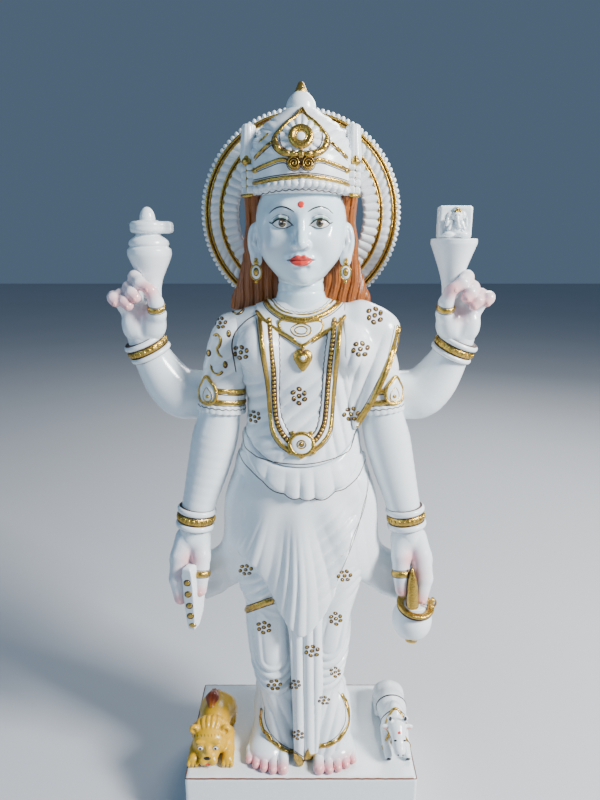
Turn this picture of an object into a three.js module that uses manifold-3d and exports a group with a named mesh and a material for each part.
// A painted marble statue of a four-armed Hindu goddess who stands on a plinth between a lion
// and a bull. Every carved and gilded element is a solid of its own, and steel dowels hold the
// figure on its plinth and the rear arms on the body.
// Millimetres, +Z up, the figure faces -Y, and the origin is the middle of the plinth's underside.
// Right and left are the statue's own, so its right side is at -X.
import * as THREE from "three";
import { mergeVertices } from "three/addons/utils/BufferGeometryUtils.js";
import Module from "manifold-3d";

const wasm = await Module();
wasm.setup();

// Driving dimensions
const HEIGHT = 610;
const PLINTH = { width: 200, depth: 112, height: 56, edge: 2 };
const GAP = 0.3; // glue line between two neighbours
const RIGHT = -1;
const LEFT = 1;
const HALO = { z: 521, inner: 50, outer: 77.5, rim: 80.5, front: 34, back: 43 };
const WRIST = { x: 87.4, y: -12.4, z: 279, radius: 12.4 };
const REAR_WRIST = { x: 124.4, y: 8, z: 421, radius: 13.6 };
const CUP = { x: 116, y: 4, rim: 502.5 };
const DOWEL_RADIUS = 3;
const SIDES = 14;

// ---------- solids from three.js geometry ----------

function solidOf(geometry) {
  const bare = geometry.clone();
  bare.deleteAttribute("normal");
  bare.deleteAttribute("uv");
  const merged = mergeVertices(bare, 1e-4);
  const make = (triVerts) =>
    new wasm.Manifold(
      new wasm.Mesh({
        numProp: 3,
        vertProperties: new Float32Array(merged.attributes.position.array),
        triVerts,
      }),
    );
  const triangles = new Uint32Array(merged.index.array);
  const solid = make(triangles);
  return solid.volume() < 0 ? make(triangles.reverse()) : solid;
}

function geometryOf(solid) {
  const mesh = solid.getMesh();
  const geometry = new THREE.BufferGeometry();
  geometry.setAttribute("position", new THREE.BufferAttribute(mesh.vertProperties, 3));
  geometry.setIndex(new THREE.BufferAttribute(mesh.triVerts, 1));
  geometry.computeVertexNormals();
  return geometry;
}

// The largest single body of a cut solid, without the slivers that a cut can leave.
function biggest(solid) {
  const bodies = solid.decompose().sort((a, b) => b.volume() - a.volume());
  return bodies[0].simplify(0.1);
}

function cut(solid, ...tools) {
  return biggest(tools.reduce((left, tool) => left.subtract(tool), solid));
}

// A closed body through elliptical sections. A station is [x, y, z, half width, half depth].
// Sections lie level, or square to the line through their centres where square is true. A body
// that runs along Y has upright sections, with its half height in place of its half depth.
function loft(stations, { sides = SIDES, grow = 0, square = false } = {}) {
  const last = stations.length - 1;
  const centres = stations.map(([x, y, z]) => new THREE.Vector3(x, y, z));
  const run = centres[last].clone().sub(centres[0]).normalize();
  const lengthwise = Math.abs(run.y) > 0.8;
  const plain = lengthwise
    ? new THREE.Vector3(0, Math.sign(run.y), 0)
    : new THREE.Vector3(0, 0, Math.sign(run.z));
  const depthway = lengthwise ? new THREE.Vector3(0, 0, 1) : new THREE.Vector3(0, 1, 0);
  const axes = centres.map((_, i) => {
    const along = square
      ? centres[Math.min(i + 1, last)].clone().sub(centres[Math.max(i - 1, 0)]).normalize()
      : plain;
    const depth = depthway.clone().projectOnPlane(along).normalize();
    return { along, depth, width: new THREE.Vector3().crossVectors(depth, along) };
  });
  centres[0].addScaledVector(axes[0].along, -grow);
  centres[last].addScaledVector(axes[last].along, grow);
  const geometry = new THREE.CylinderGeometry(1, 1, 1, sides, last);
  const position = geometry.attributes.position;
  for (let i = 0; i < position.count; i++) {
    const row = Math.round((0.5 - position.getY(i)) * last);
    const { depth, width } = axes[row];
    const point = centres[row]
      .clone()
      .addScaledVector(width, position.getX(i) * (stations[row][3] + grow))
      .addScaledVector(depth, position.getZ(i) * (stations[row][4] + grow));
    position.setXYZ(i, point.x, point.y, point.z);
  }
  return solidOf(geometry);
}

function ball([x, y, z], [a, b, c], grow = 0) {
  const geometry = new THREE.SphereGeometry(1, 10, 6);
  geometry.rotateX(Math.PI / 2);
  geometry.scale(a + grow, b + grow, c + grow);
  geometry.translate(x, y, z);
  return solidOf(geometry);
}

// A box from its lowest to its highest corner.
function block([x0, y0, z0], [x1, y1, z1], grow = 0) {
  const size = [x1 - x0 + 2 * grow, y1 - y0 + 2 * grow, z1 - z0 + 2 * grow];
  const geometry = new THREE.BoxGeometry(...size);
  geometry.translate((x0 + x1) / 2, (y0 + y1) / 2, (z0 + z1) / 2);
  return solidOf(geometry);
}

// A turned body about a vertical line at x, y. The profile is [radius, z] points.
function turned(x, y, profile, sides = SIDES) {
  const geometry = new THREE.LatheGeometry(
    profile.map(([r, z]) => new THREE.Vector2(r, z)),
    sides,
  );
  geometry.rotateX(Math.PI / 2);
  geometry.translate(x, y, 0);
  return solidOf(geometry);
}

// An outline seen from the front, drawn as a smooth closed line, and pushed from front to back.
function plate(outline, front, back, { grow = 0, steps = 3, hole } = {}) {
  const smooth = (points) => {
    const curve = new THREE.CatmullRomCurve3(
      points.map(([x, z]) => new THREE.Vector3(x, z, 0)),
      true,
      "centripetal",
    );
    return curve.getPoints(points.length * steps).slice(0, -1);
  };
  const ring = smooth(outline);
  const area = THREE.ShapeUtils.area(ring);
  const sign = Math.sign(area);
  const pushed = ring.map((p, i) => {
    const before = ring[(i + ring.length - 1) % ring.length];
    const after = ring[(i + 1) % ring.length];
    const out = new THREE.Vector2(after.y - before.y, before.x - after.x).normalize();
    return new THREE.Vector2(p.x + out.x * sign * grow, p.y + out.y * sign * grow);
  });
  const shape = new THREE.Shape(pushed);
  if (hole) shape.holes.push(new THREE.Path(smooth(hole).map((p) => new THREE.Vector2(p.x, p.y))));
  const geometry = new THREE.ExtrudeGeometry(shape, {
    depth: back - front + 2 * grow,
    bevelEnabled: false,
  });
  geometry.rotateX(Math.PI / 2);
  geometry.translate(0, back + grow, 0);
  return solidOf(geometry);
}

function dowel(start, end, grow = 0) {
  const from = new THREE.Vector3(...start);
  const to = new THREE.Vector3(...end);
  const along = to.clone().sub(from);
  const radius = DOWEL_RADIUS + grow;
  const geometry = new THREE.CylinderGeometry(radius, radius, along.length() + 2 * grow, 12);
  geometry.applyQuaternion(
    new THREE.Quaternion().setFromUnitVectors(new THREE.Vector3(0, 1, 0), along.normalize()),
  );
  const middle = from.add(to).multiplyScalar(0.5);
  geometry.translate(middle.x, middle.y, middle.z);
  return solidOf(geometry);
}

// ---------- materials ----------

function paint(color, roughness, metalness = 0) {
  return new THREE.MeshStandardMaterial({ color, roughness, metalness });
}
const marble = paint(0xf1f4f5, 0.25);
const skin = paint(0xdfe9ee, 0.2);
const gold = paint(0xc9992e, 0.3, 1);
const hairPaint = paint(0xa9602c, 0.5);
const lionPaint = paint(0xe0b23a, 0.4);
const steel = paint(0xb8bcc0, 0.35, 1);

const statue = new THREE.Group();
statue.name = "goddess_statue";

function group(name) {
  const made = new THREE.Group();
  made.name = name;
  statue.add(made);
  return made;
}

// Adds a solid to a group. A local solid is placed by its mesh's position.
function add(parent, name, solid, material, position = [0, 0, 0]) {
  const mesh = new THREE.Mesh(geometryOf(solid), material);
  mesh.name = name;
  mesh.position.set(...position);
  parent.add(mesh);
}

const mirrored = (side, stations) => stations.map(([x, ...rest]) => [side * x, ...rest]);
const sideName = (side) => (side === RIGHT ? "right" : "left");

// ---------- body forms, which their neighbours are cut by ----------

const torsoForm = (grow = 0) =>
  loft(
    [
      [0, -3, 336, 45, 31],
      [0, -3, 353, 45, 30],
      [0, -1, 376, 43, 29],
      [0, -3, 400, 47, 31],
      [0, -2, 424, 50, 31],
      [0, 2, 441, 50, 22],
      [0, 2, 452, 34, 18],
      [0, 1, 458, 22, 15],
    ],
    { grow, sides: 18 },
  );
const hipForm = (grow = 0) =>
  loft(
    [
      [0, -5, 238, 56, 39],
      [0, -4, 262, 61.5, 39],
      [0, -3, 289, 60, 38],
      [0, -3, 317, 54.5, 36],
      [0, -3, 335.7, 50, 33],
    ],
    { grow, sides: 18 },
  );
// The two legs touch along the middle, and the left one's trouser hem flares.
const legStations = {
  [RIGHT]: [
    [30, -2, 60, 19.5, 26],
    [20.2, -2, 82, 20, 26],
    [20.2, -4, 100, 19.8, 24],
    [22.3, -8, 134, 22, 25],
    [23.3, -9, 176, 23, 28],
    [26.8, -8, 216, 26.5, 33],
    [28.5, -6, 237.7, 28, 36],
  ],
  [LEFT]: [
    [27.2, 0, 60, 23, 26],
    [25.4, 0, 82, 25, 26],
    [20.3, -3, 105, 20, 24],
    [18.4, -7, 126, 18, 24],
    [20.8, -8, 160, 20.5, 26],
    [24.3, -8, 200, 24, 31],
    [28.5, -6, 237.7, 28, 36],
  ],
};
legStations[RIGHT][0] = [23.4, -2, 60, 23, 26];
const legForm = (side, grow = 0) => loft(mirrored(side, legStations[side]), { grow });

const upperArmForm = (side, grow = 0) =>
  loft(
    mirrored(side, [
      [46, 4, 443, 8, 12],
      [53, 3, 438, 12, 16],
      [58, 2, 424, 16, 18],
      [60.5, 0, 400, 17, 18.5],
      [63, -3, 378, 18.3, 19],
      [63.5, -4, 369, 18, 18.5],
    ]),
    { grow, square: true },
  );
const forearmForm = (side, grow = 0) =>
  loft(
    mirrored(side, [
      [63.6, -4.2, 368.4, 16.5, 17],
      [68.5, -5, 352, 18.3, 18],
      [73.5, -6, 336, 17.6, 17],
      [80.3, -9, 311, 15.2, 15],
      [85, -11, 293, 12.8, 12.8],
      [88.9, -13.6, 266.4, WRIST.radius, WRIST.radius],
    ]),
    { grow, square: true, sides: 14 },
  );
const rearArmForm = (side, grow = 0) =>
  loft(
    mirrored(side, [
      [36, 12, 396, 12, 11],
      [58, 16, 384, 18, 17],
      [85, 16, 375, 21.5, 20],
      [105, 14.5, 382, 21, 19],
      [117, 11.5, 401, 17, 16],
      [121.6, 9.6, 413, 13.8, 13.8],
      [126.4, 6.8, 428, REAR_WRIST.radius, REAR_WRIST.radius],
    ]),
    { grow, square: true, sides: 12 },
  );
const headForm = (grow = 0) =>
  loft(
    [
      [0, -23, 471.5, 7, 8],
      [0, -15, 477, 17, 19],
      [0, -8, 487, 25.5, 28],
      [0, -5, 500, 31, 32],
      [0, -4, 519, 32.5, 33.5],
      [0, -3, 536, 31, 32],
      [0, 0, 550, 24, 25],
      [0, 2, 558, 11, 12],
    ],
    { grow, sides: 18 },
  );
const neckForm = (grow = 0) =>
  loft(
    [
      [0, 0, 458.4, 20, 15],
      [0, -1, 464, 18, 16.5],
      [0, -1, 482, 18, 17],
    ],
    { grow },
  );
const earForm = (side, grow = 0) =>
  loft(
    mirrored(side, [
      [33, -6, 483, 3, 4],
      [34, -5, 492, 4, 5],
      [35, -3, 506, 4.5, 7],
      [35.5, -2, 516, 3, 4.5],
    ]),
    { grow, sides: 10 },
  );
const earringForm = (side, grow = 0) => ball([side * 33.2, -9, 477.5], [4.6, 2.6, 4.9], grow);
const crownForm = (grow = 0) =>
  loft(
    [
      [0, -3, 531.4, 40.6, 34],
      [0, -3, 545, 41, 34],
      [0, -2, 563, 41, 33],
      [0, -2, 578, 39.6, 30],
      [0, -1, 587, 29, 23],
      [0, 0, 592, 13, 12],
    ],
    { grow, sides: 18 },
  );
const hairForm = () =>
  loft([
    [0, 14.7, 449, 56, 19],
    [0, 13.2, 462, 53, 20.5],
    [0, 11.2, 480, 44, 22.5],
    [0, 9.2, 505, 40.5, 24.5],
    [0, 7.2, 531, 41, 26.5],
  ]);

const legDowelEnds = (side) => [
  [side * 22, 2, 30],
  [side * 22, 2, 112],
];
const armDowelEnds = (side) => [
  [side * 10, 17, 392],
  [side * 64, 28, 381],
];

const torsoSpace = torsoForm(GAP);
const hipSpace = hipForm(GAP);
const headSpace = headForm(GAP);
const neckSpace = neckForm(GAP);
const crownSpace = crownForm(GAP);
const legSpace = { [RIGHT]: legForm(RIGHT, GAP), [LEFT]: legForm(LEFT, GAP) };
const upperArmSpace = { [RIGHT]: upperArmForm(RIGHT, GAP), [LEFT]: upperArmForm(LEFT, GAP) };
const forearmSpace = { [RIGHT]: forearmForm(RIGHT, GAP), [LEFT]: forearmForm(LEFT, GAP) };
const earSpace = [earForm(RIGHT, GAP), earForm(LEFT, GAP)];
const earringSpace = [earringForm(RIGHT, GAP), earringForm(LEFT, GAP)];
const deckSpace = block([-150, -100, 0], [150, 100, PLINTH.height + GAP]);

// ---------- plinth and animals ----------

function makePlinth() {
  const { width, depth, height, edge } = PLINTH;
  const shape = new THREE.Shape();
  shape.moveTo(-width / 2 + edge, -depth / 2 + edge);
  shape.lineTo(width / 2 - edge, -depth / 2 + edge);
  shape.lineTo(width / 2 - edge, depth / 2 - edge);
  shape.lineTo(-width / 2 + edge, depth / 2 - edge);
  const geometry = new THREE.ExtrudeGeometry(shape, {
    depth: height - 2 * edge,
    bevelThickness: edge,
    bevelSize: edge,
    bevelSegments: 1,
  });
  geometry.translate(0, 0, edge);
  const holes = [RIGHT, LEFT].map((side) => dowel(...legDowelEnds(side), GAP));
  add(group("base"), "plinth", cut(solidOf(geometry), ...holes), marble);
}

// The lion lies with its chin over its forepaws, and the bull lies the same way on the other side.
function makeAnimals() {
  const animals = group("animals");
  const lion = loft([
    [-80, 32, 68, 9, 9],
    [-80, 22, 73, 13.5, 16],
    [-80, 4, 74, 13, 16],
    [-80, -16, 76, 14, 18],
    [-80, -30, 72, 14, 15],
  ])
    .add(ball([-80.5, -31, 77], [17, 15, 15.5]))
    .add(ball([-80.5, -43, 71], [9, 8.5, 8]))
    .add(ball([-93, 18, 66], [5, 13, 10]))
    .add(block([-95, -51, 56], [-66, -26, 64]));
  add(animals, "lion", cut(lion, deckSpace), lionPaint);
  const bull = loft([
    [86, 42, 66, 8, 8],
    [86, 32, 71, 14, 14],
    [86, 12, 72, 14.5, 15],
    [86, -8, 76, 13, 18],
    [86, -24, 74, 10, 14],
  ])
    .add(ball([86.5, -31, 82], [10, 12, 11]))
    .add(ball([87, -41, 75], [6.5, 8, 7]))
    .add(block([74, -47, 56], [98, -16, 63.5]));
  add(animals, "bull", cut(bull, deckSpace, legSpace[LEFT]), marble);
}

// ---------- legs, feet and lower drapery ----------

const footForm = (side, grow = 0) =>
  loft(
    mirrored(side, [
      [24, 12, 63, 11, 9],
      [26, -14, 63, 12, 10],
      [28.5, -32, 60, 17.5, 8],
      [29, -44, 59, 18.5, 6],
      [27, -50, 58, 12, 4],
    ]),
    { grow, sides: 12 },
  );

const apronOutline = [
  [-50, 326],
  [-51, 285],
  [-46, 256],
  [-36, 240],
  [-24, 216],
  [-13, 198],
  [0, 191.5],
  [14, 196],
  [27, 214],
  [37, 238],
  [46, 254],
  [51, 285],
  [50, 326],
];
const apronSpaceForm = (grow = 0) => {
  const bulge = loft(
    [
      [0, -5, 186, 34, 40.5],
      [0, -5, 238, 52, 43],
      [0, -4, 262, 63, 43],
      [0, -3, 289, 63, 42],
      [0, -3, 328, 55, 38],
    ],
    { grow, sides: 18 },
  );
  return bulge.intersect(plate(apronOutline, -60, -6, { grow, steps: 2 }));
};
const bellyOutline = [
  [-52, 346],
  [-46, 351],
  [-30, 342],
  [0, 335],
  [30, 342],
  [46, 351],
  [52, 346],
  [42, 329],
  [26, 318],
  [0, 311],
  [-26, 321],
  [-40, 333],
];
const bellyForm = (grow = 0) =>
  loft(
    [
      [0, -4, 312, 57, 41],
      [0, -4, 322, 58, 43],
      [0, -4, 334, 55, 41],
      [0, -3, 351, 47, 32],
    ],
    { grow, sides: 18 },
  ).intersect(plate(bellyOutline, -60, 8, { grow, steps: 1 }));

const handForm = (side, grow = 0) =>
  loft(
    mirrored(side, [
      [88.8, -13.6, 265.6, 11.8, 11],
      [91, -16, 252, 13.2, 11.5],
      [93.5, -18, 238, 14.2, 12],
      [96, -20, 224, 14.4, 12.5],
      [94.5, -21, 208.6, 11, 10],
    ]),
    { grow, sides: 12 },
  );

const sashOutline = [
  [44, 320],
  [58, 300],
  [62, 275],
  [64, 256],
  [72, 243.5],
  [88, 239],
  [92, 220],
  [88, 196],
  [68, 208],
  [52, 227],
  [40, 236],
];

function makeLowerBody() {
  const lower = group("lower_body");
  const feet = { [RIGHT]: footForm(RIGHT, GAP), [LEFT]: footForm(LEFT, GAP) };
  const apronSpace = apronSpaceForm(GAP);
  for (const side of [RIGHT, LEFT]) {
    const name = sideName(side);
    const pin = dowel(...legDowelEnds(side), GAP);
    add(lower, `${name}_leg`, cut(legForm(side), feet[side], pin, deckSpace), marble);
    add(lower, `${name}_foot`, cut(footForm(side), pin, deckSpace), skin);
    add(lower, `${name}_leg_dowel`, dowel(...legDowelEnds(side)), steel);
  }
  add(lower, "hip_wrap", hipForm(), marble);
  const belly = bellyForm(GAP);
  const apron = cut(apronSpaceForm(), hipSpace, belly, legSpace[RIGHT], legSpace[LEFT]);
  add(lower, "apron", apron, marble);
  add(lower, "belly_roll", cut(bellyForm(), hipSpace, torsoSpace), marble);

  const pleatOutline = [
    [-10, 205],
    [-10, 150],
    [-8, 100],
    [-9, 62],
    [2, 56.4],
    [12, 62],
    [14, 100],
    [17, 150],
    [18, 205],
  ];
  const pleat = plate(pleatOutline, -44.5, -16, { steps: 2 });
  add(
    lower,
    "centre_pleat",
    cut(pleat, apronSpace, legSpace[RIGHT], legSpace[LEFT], feet[RIGHT], feet[LEFT], deckSpace),
    marble,
  );

  // The gilt band round the right thigh rises towards the apron.
  const slab = new THREE.BoxGeometry(90, 100, 7);
  slab.rotateY(-0.62);
  slab.translate(-34, 0, 205);
  const band = legForm(RIGHT, 2).intersect(solidOf(slab));
  add(lower, "thigh_band", cut(band, legSpace[RIGHT], legSpace[LEFT], apronSpace), gold);

  for (const side of [RIGHT, LEFT]) {
    const outline = sashOutline.map(([x, z]) => [side * x, z]);
    const wing = plate(outline, -5, 12, { steps: 2 });
    const neighbours = [hipSpace, belly, legSpace[side], apronSpace, handForm(side, GAP)];
    add(lower, `${sideName(side)}_sash`, cut(wing, ...neighbours), marble);
  }
}

// ---------- torso, jewellery and front arms ----------

const dupattaOutline = [
  [37, 462],
  [52, 462],
  [76, 448],
  [79, 432],
  [70, 402],
  [60, 376],
  [49, 356],
  [39, 362],
  [36, 400],
  [37, 440],
];

const collarOutline = [
  [-34, 461],
  [-35, 450],
  [-24, 437],
  [0, 428],
  [24, 437],
  [35, 450],
  [34, 461],
  [26, 461],
  [19, 451],
  [0, 446],
  [-19, 451],
  [-26, 461],
];
const strandOutline = [
  [-33, 441],
  [-31, 390],
  [-26, 358],
  [0, 343],
  [26, 358],
  [31, 390],
  [33, 441],
  [23, 436],
  [21, 395],
  [17, 366],
  [0, 355],
  [-17, 366],
  [-21, 395],
  [-23, 436],
];
const shawlForm = (grow = 0) =>
  torsoForm(3.4 + grow)
    .add(upperArmForm(LEFT, 3.4 + grow))
    .intersect(plate(dupattaOutline, -48, 8, { grow, steps: 1 }));
const onChest = (outline, thick, grow = 0) =>
  torsoForm(thick + grow).intersect(plate(outline, -60, 4, { grow, steps: 2 }));
const armletForm = (side, grow = 0) => {
  const level = block([side * 60 - 40, -40, 371], [side * 60 + 40, 40, 392], grow);
  return upperArmForm(side, 2.6 + grow).intersect(level);
};
const collarSpace = onChest(collarOutline, 3, GAP);
const strandSpace = onChest(strandOutline, 2, GAP);
const shawlSpace = shawlForm(GAP);
const armletSpace = { [RIGHT]: armletForm(RIGHT, GAP), [LEFT]: armletForm(LEFT, GAP) };

function makeTorso() {
  const upper = group("upper_body");
  const pins = [RIGHT, LEFT].map((side) => dowel(...armDowelEnds(side), GAP));
  add(upper, "torso", cut(torsoForm(), ...pins), marble);
  const underShawl = [torsoSpace, collarSpace, strandSpace, upperArmSpace[LEFT]];
  const shawl = cut(shawlForm(), ...underShawl, forearmSpace[LEFT], armletSpace[LEFT]);
  add(upper, "dupatta", shawl, marble);
  for (const side of [RIGHT, LEFT]) {
    const name = sideName(side);
    const armlet = cut(armletForm(side), upperArmSpace[side], torsoSpace);
    add(upper, `${name}_upper_arm`, cut(upperArmForm(side), torsoSpace), marble);
    add(upper, `${name}_armlet`, armlet, gold);
    add(upper, `${name}_forearm`, cut(forearmForm(side), upperArmSpace[side], torsoSpace), skin);
  }
}

function makeJewellery() {
  const jewellery = group("jewellery");
  const disc = (x, z, radius, front, back) => {
    const geometry = new THREE.CylinderGeometry(radius, radius, back - front, 16);
    geometry.translate(x, (front + back) / 2, z);
    return solidOf(geometry);
  };
  const collar = cut(onChest(collarOutline, 3), torsoSpace, neckSpace);
  add(jewellery, "collar_necklace", collar, gold);
  const strand = cut(onChest(strandOutline, 2), torsoSpace, collarSpace);
  add(jewellery, "long_necklace", strand, gold);
  add(jewellery, "long_necklace_medallion", disc(0, 353, 10.5, -39.5, -35.6), gold);
  add(jewellery, "pendant", disc(0, 419, 6.8, -38, -34), gold);
}

// ---------- hands, bangles and what the front hands hold ----------

function bangle(radius, length) {
  const half = length / 2;
  const inner = radius + 3.3 * GAP;
  const profile = [
    [inner, -half],
    [inner + 2, -half],
    [inner + 2.4, -half * 0.5],
    [inner + 1.4, 0],
    [inner + 2.4, half * 0.5],
    [inner + 2, half],
    [inner, half],
    [inner, -half],
  ];
  return profile.map(([r, z]) => new THREE.Vector2(r, z));
}

function addBangle(parent, name, side, wrist, length, aim) {
  const geometry = new THREE.LatheGeometry(bangle(wrist.radius, length), SIDES);
  const mesh = new THREE.Mesh(geometry, gold);
  mesh.name = name;
  mesh.position.set(side * wrist.x, wrist.y, wrist.z);
  mesh.quaternion.setFromUnitVectors(
    new THREE.Vector3(0, 1, 0),
    new THREE.Vector3(side * aim[0], aim[1], aim[2]).normalize(),
  );
  parent.add(mesh);
}

function makeFrontHands() {
  const hands = group("front_hands");
  const strandForm = (grow = 0) =>
    loft(
      [
        [-89.5, -29.5, 187, 5, 4],
        [-91, -32.5, 205, 6, 5],
        [-91.5, -33.5, 235, 6, 5],
        [-91.5, -33, 247, 3.5, 4],
      ],
      { grow, sides: 8 },
    );
  add(hands, "rosary_strand", strandForm(), marble);
  add(hands, "right_hand", cut(handForm(RIGHT), strandForm(GAP), forearmSpace[RIGHT]), skin);
  add(hands, "left_hand", cut(handForm(LEFT), forearmSpace[LEFT]), skin);
  addBangle(hands, "right_bangles", RIGHT, WRIST, 15, [-3.9, 2.6, 26.6]);
  addBangle(hands, "left_bangles", LEFT, WRIST, 15, [-3.9, 2.6, 26.6]);

  const potX = 95;
  const potY = -21;
  const pot = turned(potX, potY, [
    [0, 169.5],
    [3.4, 171],
    [4, 173],
    [10.5, 176],
    [15, 182],
    [16.4, 188.5],
    [15, 196],
    [12.5, 202],
    [0, 202],
  ]);
  add(hands, "water_pot", pot, marble);
  const rim = turned(potX, potY, [
    [0, 202.3],
    [14.5, 202.3],
    [16, 205],
    [15.6, 208],
    [0, 208],
  ]);
  const spout = loft(
    [
      [92, -35.5, 204, 6, 2.6],
      [91.5, -37, 216, 5.4, 3],
      [91, -37, 232, 3.2, 2.6],
      [90.6, -36, 243, 0.8, 1],
    ],
    { sides: 8 },
  );
  const fitting = rim.add(spout).subtract(handForm(LEFT, GAP));
  add(hands, "water_pot_rim_and_spout", biggest(fitting), gold);
}

// ---------- rear arms and what they hold ----------

function makeRearArms() {
  const rear = group("rear_arms");
  const cupProfile = (grow = 0) => [
    [0, 458 - grow],
    [5 + grow, 458 - grow],
    [6 + grow, 468],
    [10.5 + grow, 480],
    [15.5 + grow, 489],
    [17 + grow, 494],
    [15.8 + grow, 497],
    [13.2 + grow, CUP.rim],
    [0, CUP.rim],
  ];
  for (const side of [RIGHT, LEFT]) {
    const name = sideName(side);
    const pin = dowel(...armDowelEnds(side), GAP);
    const neighbours = [torsoSpace, upperArmSpace[side], armletSpace[side], forearmSpace[side]];
    if (side === LEFT) neighbours.push(shawlSpace);
    const arm = cut(rearArmForm(side), ...neighbours, pin);
    add(rear, `${name}_rear_arm`, arm, skin);
    add(rear, `${name}_rear_arm_dowel`, dowel(...armDowelEnds(side)), steel);
    addBangle(rear, `${name}_rear_bangles`, side, REAR_WRIST, 13, [4.8, -2.8, 15]);

    const palm = loft(
      mirrored(side, [
        [126.6, 6.7, 428.6, 12.4, 11.6],
        [127.5, 5.5, 440, 16, 12],
        [127, 4, 452, 16.5, 12.5],
        [123, 3, 462, 13, 11.5],
        [119, 3.5, 471, 9.5, 9],
      ]),
      { sides: 12 },
    );
    const fingers = ball([side * 138, -2, 461], [9, 7, 7]);
    const cupSpace = turned(side * CUP.x, CUP.y, cupProfile(GAP), 14);
    const hand = cut(palm.add(fingers), cupSpace, rearArmForm(side, GAP));
    add(rear, `${name}_rear_hand`, hand, skin);
    add(rear, `${name}_lotus_cup`, turned(0, 0, cupProfile(), 14), marble, [side * CUP.x, CUP.y, 0]);
  }
  const bottom = CUP.rim + GAP;
  const base = turned(0, 0, [
    [0, bottom],
    [13, bottom],
    [16, bottom + 3],
    [16.2, bottom + 8],
    [14.5, bottom + 11],
    [6.2, bottom + 11.2],
    [6.2, bottom + 18],
    [4.4, bottom + 22],
    [0, bottom + 23.4],
  ]);
  const lip = block([10, -4, bottom + 3], [17.5, 4, bottom + 10]);
  add(rear, "linga_on_base", biggest(base.add(lip)), marble, [-CUP.x, CUP.y, 0]);
  const slab = block([-13.2, -6, bottom], [13.2, 6, bottom + 24]);
  add(rear, "relief_block", slab, marble, [CUP.x, CUP.y, 0]);
}

// ---------- head, crown and halo ----------

function makeHead() {
  const top = group("head");
  add(top, "neck", cut(neckForm(), headSpace, torsoSpace), skin);
  const face = [RIGHT, LEFT].reduce((solid, side) => solid.add(earForm(side)), headForm());
  add(top, "head", cut(face, crownSpace, ...earringSpace), skin);
  const hair = cut(
    hairForm(),
    headSpace,
    neckSpace,
    torsoSpace,
    crownSpace,
    upperArmSpace[RIGHT],
    upperArmSpace[LEFT],
    collarSpace,
    shawlSpace,
    ...earSpace,
    ...earringSpace,
  );
  add(top, "hair", hair, hairPaint);
  add(top, "right_earring", earringForm(RIGHT), gold);
  add(top, "left_earring", earringForm(LEFT), gold);

  const crown = group("crown");
  add(crown, "crown_body", cut(crownForm(), headSpace), marble);
  const ring = (z0, z1, thick) =>
    crownForm(thick).intersect(block([-60, -60, z0], [60, 20, z1]));
  const tabs = [RIGHT, LEFT].map((side) =>
    crownForm(4).intersect(block([side * 39 - 8, -20, 531.4], [side * 39 + 8, -3, 559])),
  );
  const band = tabs.reduce((solid, tab) => solid.add(tab), ring(531.4, 542, 3.2));
  add(crown, "crown_band", cut(band, crownSpace, headSpace), gold);
  const dropOutline = [
    [0, 586],
    [-8, 578],
    [-18, 571],
    [-18.5, 561],
    [-8, 555.5],
    [8, 555.5],
    [18.5, 561],
    [18, 571],
    [8, 578],
  ];
  const bandSpace = crownForm(3.6).intersect(block([-60, -60, 531], [60, 20, 542.3]));
  const drop = crownForm(4).intersect(plate(dropOutline, -60, -10, { steps: 2 }));
  add(crown, "crown_medallion", cut(drop, crownSpace, bandSpace), gold);
  const finialFoot = 592 + GAP;
  const finial = turned(0, 0, [
    [0, finialFoot],
    [9, finialFoot],
    [11, 595],
    [9.5, 599],
    [4.5, 603],
    [3.6, 604.5],
    [0, HEIGHT],
  ]);
  add(crown, "crown_finial", finial, marble);
}

function makeHalo() {
  const halo = group("halo");
  const annulus = (inner, outer, sides) => {
    const shape = new THREE.Shape().absarc(0, 0, outer, 0, Math.PI * 2, false);
    shape.holes.push(new THREE.Path().absarc(0, 0, inner, 0, Math.PI * 2, true));
    const geometry = new THREE.ExtrudeGeometry(shape, {
      depth: HALO.back - HALO.front,
      bevelEnabled: false,
      curveSegments: sides,
    });
    geometry.rotateX(Math.PI / 2);
    geometry.translate(0, HALO.back, HALO.z);
    return solidOf(geometry);
  };
  add(halo, "halo_plate", annulus(HALO.inner, HALO.outer, 16), marble);
  add(halo, "halo_bead_rim", annulus(HALO.outer + GAP, HALO.rim, 16), marble);
}

makePlinth();
makeAnimals();
makeLowerBody();
makeTorso();
makeJewellery();
makeFrontHands();
makeRearArms();
makeHead();
makeHalo();

export default statue;
